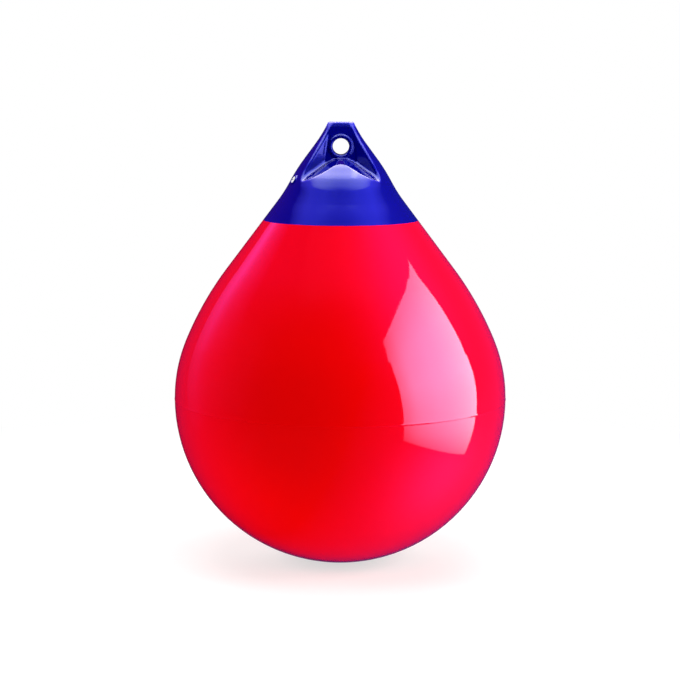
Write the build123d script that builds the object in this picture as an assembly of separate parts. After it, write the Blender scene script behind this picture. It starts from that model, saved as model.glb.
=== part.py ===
"""Teardrop inflatable buoy: hollow vinyl float body, moulded rope hold with its eye, and air valve screw."""

import os
from collections import namedtuple
from math import asin, cos, degrees, radians, sin

from build123d import *

os.makedirs("parts", exist_ok=True)

# Sizes in millimetres, heights from the centre of the rope eye, leans in degrees from upright

# Rope hold outline, from its narrow crown down over neck and waist to the edge of the skirt
crown_radius = 16.4
crown_height = 31.4
crown_lean = 25.0
crown_hollow = 161.0
crown_rounding = 2.0
neck_lean = 36.5
neck_length = 23.6
waist_drop = 45.3
waist_lean = 28.06
waist_hollow = 190.0
skirt_length = 31.2
skirt_ceiling_drop = 62.0

# Lap joint: a tongue of the rope hold is bonded inside the rim of the body
tongue_wall = 3.0
tongue_length = 20.0

# Float body: the flank goes on from the skirt, over shoulder and belly to a half ball
flank_lean = 36.95
shoulder_bulge = 426.6
belly_lean = 22.44
belly_bulge = 198.2
body_radius = 217.0
body_wall = 3.0
parting_height = 0.3
parting_width = 3.0

# Pockets in front and behind that leave a web between two side flanges
web_thickness = 28.0
pocket_half_width = 18.2
pocket_spread = 8.5
pocket_draft = 47.4
arch_drop = 14.5
arch_radius = 24.0
arch_fall = 27.5
floor_fall = 12.4
pocket_corner = 4.0
pocket_rounding = 3.0
rim_rounding = 2.5

# Apron under each arch: set back from the skin, it rolls over from the pocket's floor to a foot above the waist
apron_drop = 38.5
apron_turn = 5.0
apron_bulge = 62.0
apron_lean = 64.0
apron_inset = 7.0

# Rope eye through the web, with a raised collar on both faces
eye_radius = 10.7
eye_rounding = 2.5
collar_radius = 15.6
collar_height = 1.5
collar_rounding = 0.8

# Air valve screw in a raised boss on the side of the waist
valve_azimuth = 200.0
valve_rise = 3.4
screw_head_radius = 4.5
screw_head_height = 3.0
screw_edge = 0.5
screw_shank_radius = 2.6
screw_shank_length = 16.0
screw_clearance = 0.15
slot_width = 1.2
slot_depth = 1.2
seat_depth = 2.0
boss_wall = 2.4
boss_height = 1.0
boss_edge = 0.6
boss_root = 6.0

# One leg of an outline: the lean it ends with, the radius of its bend (minus when hollow) or its length
Leg = namedtuple("Leg", "lean bend length")
head_legs = [
    Leg(lean=neck_lean, bend=-crown_hollow, length=0.0),
    Leg(lean=neck_lean, bend=0.0, length=neck_length),
]
skirt_legs = [
    Leg(lean=flank_lean, bend=-waist_hollow, length=0.0),
    Leg(lean=flank_lean, bend=0.0, length=skirt_length),
]


def step(point, angle, distance):
    """The point at a distance from another, with the angle measured from the section's outward axis."""
    return (point[0] + distance * cos(radians(angle)), point[1] + distance * sin(radians(angle)))


def trace(point, lean, legs, inset=0.0):
    """Edges of an outline drawn downwards leg by leg and set in by a wall, and the point where it ends."""
    edges = []
    for leg in legs:
        if leg.length:
            end = step(point, lean - 90, leg.length)
            edges.append(Line(point, end))
        else:
            centre = step(point, lean + 180, leg.bend - inset)
            middle = step(centre, (lean + leg.lean) / 2, leg.bend - inset)
            end = step(centre, leg.lean, leg.bend - inset)
            edges.append(ThreePointArc(point, middle, end))
        lean = leg.lean
        point = end
    return edges, point


def half_ball(equator, radius):
    """Quarter circle from the equator to the bottom pole."""
    centre = (0.0, equator[1])
    return ThreePointArc(equator, step(centre, -45, radius), step(centre, -90, radius))


def turned(edges):
    """Closed half section turned about the upright axis."""
    return revolve(Plane.XZ * make_face(edges), Axis.Z)


# Outline of the rope hold, and the flank length that brings the body out to its radius at the equator
crown_point = (crown_radius, crown_height)
head_edges, neck_point = trace(crown_point, crown_lean, head_legs)
neck_bulge = (neck_point[1] + waist_drop) / (sin(radians(neck_lean)) - sin(radians(waist_lean)))
neck_leg = Leg(lean=waist_lean, bend=neck_bulge, length=0.0)
neck_edges, waist_point = trace(neck_point, neck_lean, [neck_leg])
skirt_edges, seam_point = trace(waist_point, waist_lean, skirt_legs)
shoulder_spread = shoulder_bulge * (cos(radians(belly_lean)) - cos(radians(flank_lean)))
belly_spread = belly_bulge * (1 - cos(radians(belly_lean)))
flank_spread = body_radius - seam_point[0] - shoulder_spread - belly_spread
body_legs = [
    Leg(lean=flank_lean, bend=0.0, length=flank_spread / sin(radians(flank_lean))),
    Leg(lean=belly_lean, bend=shoulder_bulge, length=0.0),
    Leg(lean=0.0, bend=belly_bulge, length=0.0),
]

# Float body: a skin of even wall, open at the seam, with the mould's parting line round its equator
outer_edges, outer_equator = trace(seam_point, flank_lean, body_legs)
equator_z = outer_equator[1]
rim_point = step(seam_point, flank_lean + 180, body_wall)
inner_edges, inner_equator = trace(rim_point, flank_lean, body_legs, body_wall)
body_section = [*outer_edges, half_ball(outer_equator, body_radius)]
body_section += [Line((0.0, equator_z - body_radius), (0.0, equator_z - body_radius + body_wall))]
body_section += [half_ball(inner_equator, body_radius - body_wall), *inner_edges, Line(rim_point, seam_point)]
parting_line = Polyline(
    (body_radius - body_wall / 2, equator_z - parting_width / 2),
    (body_radius, equator_z - parting_width / 2),
    (body_radius + parting_height, equator_z),
    (body_radius, equator_z + parting_width / 2),
    (body_radius - body_wall / 2, equator_z + parting_width / 2),
    close=True,
)
float_body = turned(body_section) + turned(parting_line.edges())

# Rope hold blank: solid head, hollow skirt, and the tongue that laps inside the body's rim
tongue_root = step(rim_point, flank_lean + 180, tongue_wall)
tongue_outer = step(rim_point, flank_lean - 90, tongue_length)
tongue_inner = step(tongue_root, flank_lean - 90, tongue_length)
skirt_rise = -skirt_ceiling_drop - tongue_root[1]
ceiling_point = step(tongue_root, flank_lean + 90, skirt_rise / cos(radians(flank_lean)))
hold_section = [*head_edges, *neck_edges, *skirt_edges, Line(seam_point, rim_point)]
hold_section += [Line(rim_point, tongue_outer)]
hold_section += [Line(tongue_outer, tongue_inner), Line(tongue_inner, ceiling_point)]
hold_section += [Line(ceiling_point, (0.0, -skirt_ceiling_drop))]
hold_section += [Line((0.0, -skirt_ceiling_drop), (0.0, crown_height)), Line((0.0, crown_height), crown_point)]
blank = turned(hold_section)

# Pocket: an arched floor that falls outwards from the web
reach = seam_point[0]
pocket_top = 2 * crown_height
arch_side = step((0.0, -arch_drop - arch_radius), 90 - arch_fall, arch_radius)
arch_foot = step(arch_side, -arch_fall, reach)
arch_edges = [
    ThreePointArc((-arch_side[0], arch_side[1]), (0.0, -arch_drop), arch_side),
    Polyline(arch_side, arch_foot, (arch_foot[0], pocket_top), (-arch_foot[0], pocket_top)),
    Polyline((-arch_foot[0], pocket_top), (-arch_foot[0], arch_foot[1]), (-arch_side[0], arch_side[1])),
]
web_face = Plane.XZ.offset(web_thickness / 2)
floor_way = (0.0, -cos(radians(floor_fall)), -sin(radians(floor_fall)))
arch_face = make_face([edge for line in arch_edges for edge in line.edges()])
pocket = extrude(web_face * arch_face, amount=reach, dir=floor_way)

# Apron: its turned cut starts with a slight turn at a foot on the bulge of the neck
neck_centre = step(waist_point, waist_lean + 180, neck_bulge)
foot_lean = degrees(asin((-apron_drop - neck_centre[1]) / neck_bulge))
apron_foot = step(neck_centre, foot_lean, neck_bulge)
apron_centre = step(apron_foot, foot_lean + apron_turn + 180, apron_bulge)
apron_middle = step(apron_centre, (foot_lean + apron_turn + apron_lean) / 2, apron_bulge)
apron_top = step(apron_centre, apron_lean, apron_bulge)
apron_edges = [
    ThreePointArc(apron_foot, apron_middle, apron_top),
    Polyline(apron_top, (apron_top[0], -arch_drop), (waist_point[0], -arch_drop)),
    Polyline((waist_point[0], -arch_drop), (waist_point[0], apron_foot[1]), apron_foot),
]
apron = turned([edge for line in apron_edges for edge in line.edges()])

# Side walls end the pocket, and the apron stays within them
for side in (-1, 1):
    wall_foot = (side * pocket_half_width, -web_thickness / 2, 0.0)
    down_wall = Vector(side * sin(radians(pocket_spread)), 0.0, -cos(radians(pocket_spread)))
    out_wall = Vector(side * sin(radians(pocket_draft)), -cos(radians(pocket_draft)), 0.0)
    wall = Plane(wall_foot, x_dir=out_wall, z_dir=out_wall.cross(down_wall) * side)
    pocket = split(pocket, bisect_by=wall, keep=Keep.BOTTOM)
    apron = split(apron, bisect_by=wall.offset(-apron_inset), keep=Keep.BOTTOM)


def lower_corner(edge):
    """True for an edge that leads outwards from the web where the floor meets a side wall."""
    outer, root = sorted((edge @ 0, edge @ 1), key=lambda end: end.Y)
    leads_out = outer.Y < -web_thickness < root.Y
    return leads_out and root.Z < 0 and abs(root.X) > arch_side[0] + 0.01


pocket = fillet(pocket.edges().filter_by(lower_corner), pocket_corner)
foot_edges = pocket.faces().sort_by(Axis.Y)[-1].edges().sort_by(Axis.Z)[:-1]
pocket = fillet(foot_edges, pocket_rounding)
rope_hold = blank - [pocket, apron, mirror(pocket, Plane.XZ), mirror(apron, Plane.XZ)]

# Rounded rim where the pockets come out through the turned surface
blank_skin = blank.shell()


def pocket_rim(edge):
    """True for an edge that a pocket has cut into the skin of the blank."""
    middle = edge @ 0.4
    beside = abs(middle.Y) > 1 and middle.Z < crown_height - 0.01
    return beside and edge.geom_type != GeomType.CIRCLE and blank_skin.distance_to(middle) < 0.01


rope_hold = fillet(rope_hold.edges().filter_by(pocket_rim), rim_rounding)
rope_hold = fillet(rope_hold.faces().sort_by(Axis.Z)[-1].edges(), crown_rounding)

# Rope eye with its collars
collar_half = web_thickness / 2 + collar_height
collar = Plane.XZ * Cylinder(collar_radius, 2 * collar_half)
collar = fillet(collar.edges().filter_by(GeomType.CIRCLE), collar_rounding)
eye = Plane.XZ * Cylinder(eye_radius, 4 * collar_half)
rope_hold = rope_hold + collar - eye
eye_mouths = rope_hold.edges().filter_by(GeomType.CIRCLE)
eye_mouths = eye_mouths.filter_by(lambda edge: abs(edge.radius - eye_radius) < 0.01)
rope_hold = fillet(eye_mouths, eye_rounding)

# Valve boss, screw seat and air passage, square to the surface of the waist
waist_normal = (cos(radians(waist_lean)), 0.0, sin(radians(waist_lean)))
waist_plane = Plane((waist_point[0], 0.0, waist_point[1]), x_dir=(0.0, 1.0, 0.0), z_dir=waist_normal)
valve_place = Rot(0, 0, valve_azimuth) * waist_plane.location * Pos(0, valve_rise, 0)
below = (Align.CENTER, Align.CENTER, Align.MAX)
above = (Align.CENTER, Align.CENTER, Align.MIN)
seat_radius = screw_head_radius + screw_clearance
boss = Cylinder(seat_radius + boss_wall, boss_root + boss_height, align=above)
boss = fillet(boss.edges().sort_by(Axis.Z)[-1], boss_edge)
seat = Pos(0, 0, -seat_depth) * Cylinder(seat_radius, seat_depth + 2 * boss_height, align=above)
passage = Cylinder(screw_shank_radius + screw_clearance, waist_point[0] / cos(radians(waist_lean)), align=below)
rope_hold += valve_place * Pos(0, 0, -boss_root) * boss
rope_hold -= valve_place * (seat + passage)

# Valve screw: slotted head on its seat, plain shank down the passage
head = Pos(0, 0, -seat_depth) * Cylinder(screw_head_radius, screw_head_height, align=above)
head = fillet(head.edges().sort_by(Axis.Z)[-1], screw_edge)
shank = Pos(0, 0, -seat_depth) * Cylinder(screw_shank_radius, screw_shank_length, align=below)
slot = Pos(0, 0, screw_head_height - seat_depth) * Box(3 * screw_head_radius, slot_width, 2 * slot_depth)
valve_screw = valve_place * (head + shank - slot)

export_step(float_body, "parts/float_body.step")
export_step(rope_hold, "parts/rope_hold.step")
export_step(valve_screw, "parts/valve_screw.step")
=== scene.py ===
import math

import bmesh
import bpy
from mathutils import Matrix, Vector


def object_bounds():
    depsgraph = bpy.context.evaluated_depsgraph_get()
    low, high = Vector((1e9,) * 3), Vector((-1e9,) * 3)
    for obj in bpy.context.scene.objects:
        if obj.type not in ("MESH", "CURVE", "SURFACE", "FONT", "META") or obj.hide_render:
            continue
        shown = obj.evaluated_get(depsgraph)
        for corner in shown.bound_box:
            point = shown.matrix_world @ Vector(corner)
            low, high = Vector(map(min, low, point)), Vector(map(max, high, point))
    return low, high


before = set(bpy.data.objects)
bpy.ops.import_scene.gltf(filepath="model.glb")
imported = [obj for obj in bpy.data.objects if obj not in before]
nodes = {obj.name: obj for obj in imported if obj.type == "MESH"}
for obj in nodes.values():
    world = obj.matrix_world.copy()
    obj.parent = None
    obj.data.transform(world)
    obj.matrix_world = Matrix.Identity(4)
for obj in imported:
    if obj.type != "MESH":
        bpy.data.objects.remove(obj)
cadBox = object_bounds()
scene = bpy.context.scene
scene.view_settings.view_transform = "Standard"
print("frame loaded:", sorted(nodes))

white = (1.0, 1.0, 1.0, 1.0)
black = (0.0, 0.0, 0.0, 1.0)


def grey(level):
    return (level, level, level, 1.0)


def wire(tree, source, target):
    tree.links.new(source, target)


def addNode(tree, kind, x, y, **settings):
    node = tree.nodes.new(kind)
    node.location = (x, y)
    for key, value in settings.items():
        setattr(node, key, value)
    return node


def setInputs(node, values):
    for socket, value in values.items():
        node.inputs[socket].default_value = value


def mathNode(tree, operation, x, y, first, second):
    node = addNode(tree, "ShaderNodeMath", x, y, operation=operation)
    for socket, value in zip(node.inputs, (first, second)):
        if isinstance(value, (int, float)):
            socket.default_value = value
        else:
            wire(tree, value, socket)
    return node.outputs[0]


def noiseNode(tree, x, y, vector, scale, detail):
    node = addNode(tree, "ShaderNodeTexNoise", x, y)
    setInputs(node, {"Scale": scale, "Detail": detail})
    wire(tree, vector, node.inputs["Vector"])
    return node.outputs["Fac"]


def stretchNode(tree, x, y, vector, scale, turn=(0.0, 0.0, 0.0)):
    node = addNode(tree, "ShaderNodeMapping", x, y)
    setInputs(node, {"Scale": scale, "Rotation": turn})
    wire(tree, vector, node.inputs["Vector"])
    return node.outputs["Vector"]


def rangeNode(tree, x, y, value, start=(0.0, 1.0), end=(0.0, 1.0), curve="LINEAR"):
    node = addNode(tree, "ShaderNodeMapRange", x, y, interpolation_type=curve)
    setInputs(node, {"From Min": start[0], "From Max": start[1], "To Min": end[0], "To Max": end[1]})
    wire(tree, value, node.inputs["Value"])
    return node.outputs["Result"]


def fadeNode(tree, x, y, value, start):
    return rangeNode(tree, x, y, value, start, curve="SMOOTHSTEP")


# moulded vinyl: cloudy tone, slow waves and rings from the mould, fine skin and light scuffs
skin = {
    "cloudScale": 7.0,
    "cloudDetail": 3.0,
    "cloudRange": (0.35, 0.65),
    "waveScale": 9.0,
    "waveDetail": 0.0,
    "pebbleScale": 520.0,
    "pebbleDetail": 1.0,
    "pebbleShare": 0.012,
    "scuffStretch": (70.0, 70.0, 16.0),
    "scuffTurn": (0.5, 0.3, 0.0),
    "scuffDetail": 4.0,
    "scuffRange": (0.60, 0.78),
    "scuffRoughness": 0.10,
    "ringStretch": (4.0, 4.0, 85.0),
    "ringDetail": 0.0,
}
skinSockets = {
    "INPUT": {
        "Tone": "NodeSocketColor",
        "Cloud Tone": "NodeSocketColor",
        "Clouds": "NodeSocketFloat",
        "Gloss Roughness": "NodeSocketFloat",
        "Scuffs": "NodeSocketFloat",
        "Rings": "NodeSocketFloat",
    },
    "OUTPUT": {
        "Colour": "NodeSocketColor",
        "Roughness": "NodeSocketFloat",
        "Height": "NodeSocketFloat",
    },
}


def buildVinylSkin():
    group = bpy.data.node_groups.new("vinylSkin", "ShaderNodeTree")
    for side, sockets in skinSockets.items():
        for name, kind in sockets.items():
            group.interface.new_socket(name, in_out=side, socket_type=kind)
    start = addNode(group, "NodeGroupInput", -1000, 0).outputs
    end = addNode(group, "NodeGroupOutput", 800, 0).inputs
    place = addNode(group, "ShaderNodeTexCoord", -1000, -300).outputs["Object"]

    cloud = noiseNode(group, -600, 300, place, skin["cloudScale"], skin["cloudDetail"])
    cloud = rangeNode(group, -350, 300, cloud, skin["cloudRange"])
    tint = addNode(group, "ShaderNodeMix", 150, 300, data_type="RGBA")
    wire(group, mathNode(group, "MULTIPLY", -100, 300, cloud, start["Clouds"]), tint.inputs["Factor"])
    wire(group, start["Tone"], tint.inputs["A"])
    wire(group, start["Cloud Tone"], tint.inputs["B"])
    wire(group, tint.outputs["Result"], end["Colour"])

    streaks = stretchNode(group, -800, -500, place, skin["scuffStretch"], skin["scuffTurn"])
    scuff = noiseNode(group, -600, -500, streaks, 1.0, skin["scuffDetail"])
    scuff = rangeNode(group, -350, -500, scuff, skin["scuffRange"])
    scuff = mathNode(group, "MULTIPLY", -100, -450, scuff, start["Scuffs"])
    scuff = mathNode(group, "MULTIPLY", 100, -450, scuff, skin["scuffRoughness"])
    wire(group, mathNode(group, "ADD", 300, -300, scuff, start["Gloss Roughness"]), end["Roughness"])

    wave = noiseNode(group, -600, 0, place, skin["waveScale"], skin["waveDetail"])
    pebble = noiseNode(group, -600, -250, place, skin["pebbleScale"], skin["pebbleDetail"])
    pebble = mathNode(group, "MULTIPLY", -100, -150, pebble, skin["pebbleShare"])
    relief = mathNode(group, "ADD", 150, -50, wave, pebble)
    bands = stretchNode(group, -800, -750, place, skin["ringStretch"])
    ring = noiseNode(group, -600, -750, bands, 1.0, skin["ringDetail"])
    ring = mathNode(group, "MULTIPLY", 100, -750, ring, start["Rings"])
    wire(group, mathNode(group, "ADD", 400, -100, relief, ring), end["Height"])
    return group


vinylSkin = buildVinylSkin()
print("vinyl skin group built")

# the three finishes, one dictionary each; bands and edges are in metres from the rope eye
redVinyl = {
    "tone": (0.82, 0.0006, 0.0012, 1.0),
    "cloudTone": (0.77, 0.0004, 0.0016, 1.0),
    "clouds": 0.6,
    "roughness": 0.045,
    "scuffs": 0.5,
    "rings": 0.0,
    "waveDepth": 0.0003,
    "bendOfLight": 1.5,
    "specularLevel": 0.5,
    "specularTint": (1.0, 0.46, 1.0, 1.0),
}
blueVinyl = {
    "tone": (0.0010, 0.0012, 0.215, 1.0),
    "cloudTone": (0.0008, 0.0010, 0.195, 1.0),
    "clouds": 0.7,
    "roughness": 0.06,
    "scuffs": 0.8,
    "rings": 0.5,
    "waveDepth": 0.0003,
    "bendOfLight": 1.5,
    "specularLevel": 0.5,
    "specularTint": (0.35, 0.5, 1.0, 1.0),
    "softEdge": 0.003,
    "softSamples": 8,
    "softAbove": (-0.080, -0.070),
    "footRoll": 0.23,
    "footBelow": (-0.062, -0.037),
    "footAbove": (-0.026, -0.034),
    "footWidth": (0.090, 0.026),
    "wornAbove": (0.022, 0.029),
    "wornRise": 0.40,
}
screwNylon = {
    "tone": (0.86, 0.86, 0.85, 1.0),
    "shade": (0.72, 0.72, 0.70, 1.0),
    "speckScale": 900.0,
    "speckDetail": 2.0,
    "roughness": (0.38, 0.52),
    "bumpStrength": 0.3,
    "bumpDepth": 0.0002,
}


def newMaterial(name):
    material = bpy.data.materials.new(name)
    material.use_nodes = True
    return material, material.node_tree, material.node_tree.nodes["Principled BSDF"]


# moulded edges catch the light as if a little rounder, and the apron rolls out softly at its foot
def softNormal(tree, finish, split):
    height = split["Z"]
    plain = addNode(tree, "ShaderNodeNewGeometry", -1300, -800)
    soft = addNode(tree, "ShaderNodeBevel", -1300, -650, samples=finish["softSamples"])
    setInputs(soft, {"Radius": finish["softEdge"]})
    edge = addNode(tree, "ShaderNodeMix", -1000, -600, data_type="VECTOR")
    wire(tree, fadeNode(tree, -1300, -400, height, finish["softAbove"]), edge.inputs["Factor"])
    wire(tree, plain.outputs["Normal"], edge.inputs["A"])
    wire(tree, soft.outputs["Normal"], edge.inputs["B"])

    below = fadeNode(tree, -1300, -1000, height, finish["footBelow"])
    above = fadeNode(tree, -1300, -1250, height, finish["footAbove"])
    across = mathNode(tree, "ABSOLUTE", -1500, -1500, split["X"], 0.0)
    width = fadeNode(tree, -1300, -1500, across, finish["footWidth"])
    rise = mathNode(tree, "MULTIPLY", -1100, -1000, below, above)
    rise = mathNode(tree, "MULTIPLY", -950, -1000, rise, width)
    rise = mathNode(tree, "MULTIPLY", -800, -1000, rise, finish["footRoll"])
    lift = addNode(tree, "ShaderNodeCombineXYZ", -650, -1000)
    wire(tree, rise, lift.inputs["Z"])
    lean = addNode(tree, "ShaderNodeVectorMath", -650, -700, operation="ADD")
    wire(tree, edge.outputs["Result"], lean.inputs[0])
    wire(tree, lift.outputs["Vector"], lean.inputs[1])
    unit = addNode(tree, "ShaderNodeVectorMath", -450, -700, operation="NORMALIZE")
    wire(tree, lean.outputs["Vector"], unit.inputs[0])
    return unit.outputs["Vector"]


def buildVinyl(name, finish):
    material, tree, shader = newMaterial(name)
    body = addNode(tree, "ShaderNodeGroup", -500, 100, node_tree=vinylSkin)
    setInputs(body, {
        "Tone": finish["tone"],
        "Cloud Tone": finish["cloudTone"],
        "Clouds": finish["clouds"],
        "Gloss Roughness": finish["roughness"],
        "Scuffs": finish["scuffs"],
        "Rings": finish["rings"],
    })
    bump = addNode(tree, "ShaderNodeBump", -250, -250)
    setInputs(bump, {"Strength": 1.0, "Distance": finish["waveDepth"]})
    roughness = body.outputs["Roughness"]
    if "softEdge" in finish:
        place = addNode(tree, "ShaderNodeTexCoord", -1900, -400)
        split = addNode(tree, "ShaderNodeSeparateXYZ", -1700, -400)
        wire(tree, place.outputs["Object"], split.inputs["Vector"])
        wire(tree, softNormal(tree, finish, split.outputs), bump.inputs["Normal"])
        worn = fadeNode(tree, -500, 400, split.outputs["Z"], finish["wornAbove"])  # dull crown
        worn = mathNode(tree, "MULTIPLY", -300, 300, worn, finish["wornRise"])
        roughness = mathNode(tree, "ADD", -150, 200, roughness, worn)
    wire(tree, body.outputs["Colour"], shader.inputs["Base Color"])
    wire(tree, roughness, shader.inputs["Roughness"])
    wire(tree, body.outputs["Height"], bump.inputs["Height"])
    wire(tree, bump.outputs["Normal"], shader.inputs["Normal"])
    setInputs(shader, {
        "IOR": finish["bendOfLight"],
        "Specular IOR Level": finish["specularLevel"],
        "Specular Tint": finish["specularTint"],
    })
    return material


def buildNylon(name, finish):
    material, tree, shader = newMaterial(name)
    place = addNode(tree, "ShaderNodeTexCoord", -900, 0).outputs["Object"]
    speck = noiseNode(tree, -700, 0, place, finish["speckScale"], finish["speckDetail"])
    tint = addNode(tree, "ShaderNodeMix", -300, 200, data_type="RGBA")
    setInputs(tint, {"A": finish["tone"], "B": finish["shade"]})
    wire(tree, speck, tint.inputs["Factor"])
    wire(tree, tint.outputs["Result"], shader.inputs["Base Color"])
    wire(tree, rangeNode(tree, -300, -50, speck, end=finish["roughness"]), shader.inputs["Roughness"])
    bump = addNode(tree, "ShaderNodeBump", -300, -350)
    setInputs(bump, {"Strength": finish["bumpStrength"], "Distance": finish["bumpDepth"]})
    wire(tree, speck, bump.inputs["Height"])
    wire(tree, bump.outputs["Normal"], shader.inputs["Normal"])
    return material


def dress(node, material):
    mesh = nodes[node].data
    mesh.materials.clear()
    mesh.materials.append(material)


dress("float_body", buildVinyl("redVinylGloss", redVinyl))
dress("rope_hold", buildVinyl("blueVinylGloss", blueVinyl))
dress("valve_screw", buildNylon("whiteNylon", screwNylon))
print("finishes given to", len(nodes), "pieces")

# studio: panels and wall glow are what the gloss mirrors, soft lamps light the colours
# at and shines place a panel; across and along are its glow from one side to the other
# lights names the one piece that mirrors it; lean turns it about its own middle, in degrees
sideBox = {
    "at": (0.476, -0.316, -0.179),
    "shines": (-0.9825, 0.1031, -0.1549),
    "size": (0.606, 0.816),
}
even = (1.0, 1.0)
roundFade = (0.0, 0.7, 1.0, 1.0, 1.0, 0.7, 0.0)
panels = {
    "rightBox": {
        **sideBox,
        "glow": 9.6,
        "across": (0.42, 0.86, 1.0, 1.0, 0.92),
        "along": (0.2, 0.8, 1.0, 0.85, 0.45),
        "tint": (1.0, 1.0, 1.0),
        "lean": -1.4,
        "shape": "RECTANGLE",
        "lights": "float_body",
    },
    "headSide": {
        **sideBox,
        "glow": 2.4,
        "across": even,
        "along": even,
        "tint": (0.3, 0.25, 1.0),
        "lean": 0.0,
        "shape": "RECTANGLE",
        "lights": "rope_hold",
    },
    "headCard": {
        "at": (0.0, 0.0, 0.12),
        "shines": (0.0, 0.0, -1.0),
        "size": (0.56, 0.42),
        "glow": 5.0,
        "across": roundFade,
        "along": roundFade,
        "tint": (0.17, 0.14, 1.0),
        "lean": 0.0,
        "shape": "ELLIPSE",
        "lights": "rope_hold",
    },
    "headGlow": {
        "at": (0.0, 0.005, 0.118),
        "shines": (0.0, 0.0, -1.0),
        "size": (0.37, 0.32),
        "glow": 8.0,
        "across": (0.0, 0.6, 1.0, 1.0, 1.0, 0.6, 0.0),
        "along": (0.0, 0.4, 0.8, 1.0, 1.0, 1.0, 1.0),
        "tint": (0.98, 0.84, 0.34),
        "lean": 0.0,
        "shape": "ELLIPSE",
        "lights": "rope_hold",
    },
    "pocketCard": {
        "at": (0.026, -0.0395, 0.005),
        "shines": (-1.0, 0.0, 0.0),
        "size": (0.037, 0.050),
        "glow": 6.5,
        "across": even,
        "along": (0.8, 1.0, 1.0, 0.5, 0.3),
        "tint": (0.50, 0.42, 1.0),
        "lean": 0.0,
        "shape": "RECTANGLE",
        "lights": "rope_hold",
    },
    "leftCard": {
        "at": (-0.72, 0.10, -0.094),
        "shines": (0.94, -0.342, 0.0),
        "size": (0.60, 1.60),
        "glow": 2.9,
        "across": (0.35, 1.0, 0.4, 0.15, 0.0),
        "along": (0.0, 0.0, 0.1, 0.5, 1.0),
        "tint": (0.75, 0.15, 1.0),
        "lean": 24.6,
        "shape": "RECTANGLE",
        "lights": "float_body",
    },
}
softLamps = {
    "keyRight": {"at": (1.64, -0.72, 0.3), "size": (1.4, 1.4), "level": 5.3},
    "overHead": {"at": (0.0, -0.2, 1.6), "size": (1.8, 1.8), "level": 2.9},
    "fillLeft": {"at": (-1.78, -0.10, 0.15), "size": (1.4, 1.4), "level": 3.3},
    "fillBack": {"at": (-0.2, 1.75, 0.2), "size": (1.4, 1.4), "level": 4.0},
    "tableBounce": {"at": (0.0, -0.1, -0.54), "size": (0.9, 0.9), "level": 0.6},
}
lampAim = (0.0, 0.0, -0.27)


def rampNodes(lamp, spec):
    lamp.use_nodes = True
    tree = lamp.node_tree
    spot = addNode(tree, "ShaderNodeNewGeometry", -900, 0)
    split = addNode(tree, "ShaderNodeSeparateXYZ", -700, 0)
    wire(tree, spot.outputs["Parametric"], split.inputs["Vector"])
    strengths = []
    for socket, key, y in (("X", "across", 200), ("Y", "along", -200)):
        ramp = addNode(tree, "ShaderNodeValToRGB", -500, y)
        stops = ramp.color_ramp.elements
        last = len(spec[key]) - 1
        for place in range(1, last):
            stops.new(place / last)
        for stop, shade in zip(stops, spec[key]):
            stop.color = grey(shade)
        wire(tree, split.outputs[socket], ramp.inputs["Fac"])
        strengths.append(ramp.outputs["Color"])
    strength = mathNode(tree, "MULTIPLY", -150, 0, *strengths)
    wire(tree, strength, tree.nodes["Emission"].inputs["Strength"])


def panelLamp(name, at, shines, size, glow, lean=0.0):
    lamp = bpy.data.lights.new(name, "AREA")
    lamp.shape = "RECTANGLE"
    lamp.size, lamp.size_y = size
    lamp.energy = 4.0 * size[0] * size[1] * glow  # glow is the panel's own brightness, white is 1
    holder = bpy.data.objects.new(name, lamp)
    facing = Vector(shines).to_track_quat("-Z", "Y").to_matrix().to_4x4()
    holder.matrix_world = Matrix.Translation(at) @ facing @ Matrix.Rotation(math.radians(lean), 4, "Z")
    holder.visible_camera = False
    scene.collection.objects.link(holder)
    return holder


for name, spec in panels.items():
    holder = panelLamp(name, spec["at"], spec["shines"], spec["size"], spec["glow"], spec["lean"])
    holder.data.shape = spec["shape"]
    holder.data.color = spec["tint"]
    holder.visible_diffuse = False
    mirroredBy = bpy.data.collections.new(name + "Lit")
    mirroredBy.objects.link(nodes[spec["lights"]])
    holder.light_linking.receiver_collection = mirroredBy
    rampNodes(holder.data, spec)
for name, spec in softLamps.items():
    shines = Vector(lampAim) - Vector(spec["at"])
    holder = panelLamp(name, spec["at"], shines, spec["size"], spec["level"])
    holder.visible_glossy = False
print("studio lit with", len(panels) + len(softLamps), "lamps")

# the air round the buoy: white to the camera, tinted lobes to the gloss, a little ambient to the rest
ambient = 0.07
wallGlow = {
    "floorRight": {
        "towards": (0.82, -0.08, -0.57),
        "tightness": 8.7,
        "glow": 1.5,
        "tint": (0.45, 0.15, 1.0),
    },
    "upperRight": {
        "towards": (0.73, -0.10, 0.68),
        "tightness": 7.5,
        "glow": 1.5,
        "tint": (0.10, 0.11, 1.0),
    },
    "wideRight": {
        "towards": (0.94, 0.15, -0.29),
        "tightness": 1.0,
        "glow": 0.50,
        "tint": (0.10, 0.11, 1.0),
    },
    "wideLeft": {
        "towards": (-0.86, 0.50, 0.10),
        "tightness": 2.5,
        "glow": 0.18,
        "tint": (0.45, 0.10, 1.0),
    },
    "overHead": {
        "towards": (0.0, 0.30, 0.95),
        "tightness": 6.0,
        "glow": 1.2,
        "tint": (0.45, 0.08, 1.0),
    },
}


def seenStraight(tree, x, y, path):
    return mathNode(tree, "MAXIMUM", x, y, path["Is Camera Ray"], path["Is Transmission Ray"])


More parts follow.
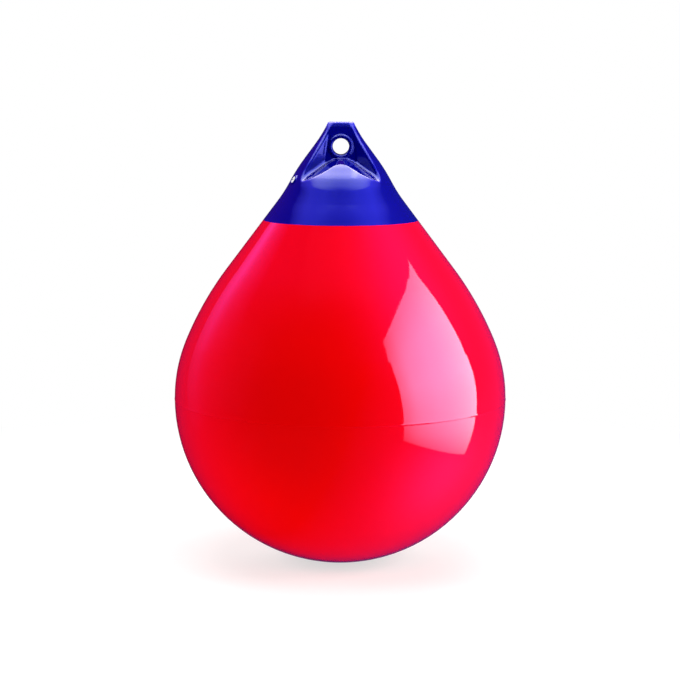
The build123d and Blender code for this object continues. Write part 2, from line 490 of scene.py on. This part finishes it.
def glowLobe(tree, y, way, spec):
    facing = addNode(tree, "ShaderNodeVectorMath", -1500, y, operation="DOT_PRODUCT")
    facing.inputs[1].default_value = Vector(spec["towards"]).normalized()
    wire(tree, way, facing.inputs[0])
    ahead = mathNode(tree, "MAXIMUM", -1300, y, facing.outputs["Value"], 0.0)
    lobe = mathNode(tree, "POWER", -1150, y, ahead, spec["tightness"])
    lobe = mathNode(tree, "MULTIPLY", -1000, y, lobe, spec["glow"])
    tinted = addNode(tree, "ShaderNodeVectorMath", -850, y, operation="SCALE")
    tinted.inputs[0].default_value = spec["tint"]
    wire(tree, lobe, tinted.inputs["Scale"])
    return tinted.outputs["Vector"]


world = bpy.data.worlds.new("studioAir")
scene.world = world
world.use_nodes = True
air = world.node_tree
path = addNode(air, "ShaderNodeLightPath", -900, 0).outputs
way = addNode(air, "ShaderNodeTexCoord", -1700, -300).outputs["Generated"]
mirrored = None
for row, spec in enumerate(wallGlow.values()):
    y = -300 - 160 * row
    total = addNode(air, "ShaderNodeVectorMath", -700, y, operation="ADD")
    wire(air, glowLobe(air, y, way, spec), total.inputs[0])
    if mirrored:
        wire(air, mirrored, total.inputs[1])
    mirrored = total.outputs["Vector"]
gloss = addNode(air, "ShaderNodeMix", -450, -100, data_type="RGBA")
setInputs(gloss, {"A": grey(ambient)})
wire(air, path["Is Glossy Ray"], gloss.inputs["Factor"])
wire(air, mirrored, gloss.inputs["B"])
backdrop = addNode(air, "ShaderNodeMix", -200, 0, data_type="RGBA")
setInputs(backdrop, {"B": white})
wire(air, seenStraight(air, -450, 150, path), backdrop.inputs["Factor"])
wire(air, gloss.outputs["Result"], backdrop.inputs["A"])
wire(air, backdrop.outputs["Result"], air.nodes["Background"].inputs["Color"])
print("studio air mixed from", len(wallGlow), "lobes")

# pale floor under the buoy, running out to white
paleFloor = {
    "tone": 0.40,
    "glow": 0.62,
    "fade": (0.45, 1.1),
    "roughness": 0.9,
    "reach": 6.0,
    "segments": 96,
}


def buildFloorPaint():
    material, tree, shader = newMaterial("paleFloor")
    place = addNode(tree, "ShaderNodeTexCoord", -1100, 0).outputs["Object"]
    flat = stretchNode(tree, -1000, 0, place, (1.0, 1.0, 0.0))
    distance = addNode(tree, "ShaderNodeVectorMath", -900, 0, operation="LENGTH")
    wire(tree, flat, distance.inputs[0])
    away = fadeNode(tree, -700, 0, distance.outputs["Value"], paleFloor["fade"])
    tone = addNode(tree, "ShaderNodeMix", -450, 200, data_type="RGBA")
    setInputs(tone, {"A": grey(paleFloor["tone"]), "B": black})
    wire(tree, away, tone.inputs["Factor"])
    wire(tree, tone.outputs["Result"], shader.inputs["Base Color"])
    glow = rangeNode(tree, -450, -150, away, end=(paleFloor["glow"], 1.0))
    ray = addNode(tree, "ShaderNodeLightPath", -700, -350).outputs
    shown = mathNode(tree, "MAXIMUM", -250, -350, seenStraight(tree, -450, -350, ray), ray["Is Glossy Ray"])
    wire(tree, mathNode(tree, "MULTIPLY", -150, -200, glow, shown), shader.inputs["Emission Strength"])
    setInputs(shader, {
        "Emission Color": white,
        "Roughness": paleFloor["roughness"],
        "Specular IOR Level": 0.0,
    })
    return material


floorMesh = bpy.data.meshes.new("paleFloor")
floorBm = bmesh.new()
bmesh.ops.create_circle(floorBm, cap_ends=True, segments=paleFloor["segments"], radius=paleFloor["reach"])
bmesh.ops.translate(floorBm, verts=floorBm.verts, vec=(0.0, 0.0, cadBox[0].z))
floorBm.to_mesh(floorMesh)
floorBm.free()
floorMesh.materials.append(buildFloorPaint())
floor = bpy.data.objects.new("paleFloor", floorMesh)
scene.collection.objects.link(floor)
floor.visible_glossy = False
print("floor laid at", round(cadBox[0].z, 4))

# camera at the photograph's angle
lens = {
    "at": (0.0, -2.515, 0.1005),
    "pitch": 8.0,
    "roll": 0.17,
    "focal": 102.55,
    "sensor": 36.0,
    "shiftX": -0.00044,
}
eye = bpy.data.cameras.new("buoyCamera")
eye.sensor_width = lens["sensor"]
eye.lens = lens["focal"]
eye.shift_x = lens["shiftX"]
eyeHolder = bpy.data.objects.new("buoyCamera", eye)
tilt = Matrix.Rotation(math.radians(90.0 - lens["pitch"]), 4, "X")
roll = Matrix.Rotation(math.radians(lens["roll"]), 4, "Z")
eyeHolder.matrix_world = Matrix.Translation(lens["at"]) @ tilt @ roll
scene.collection.objects.link(eyeHolder)
scene.camera = eyeHolder
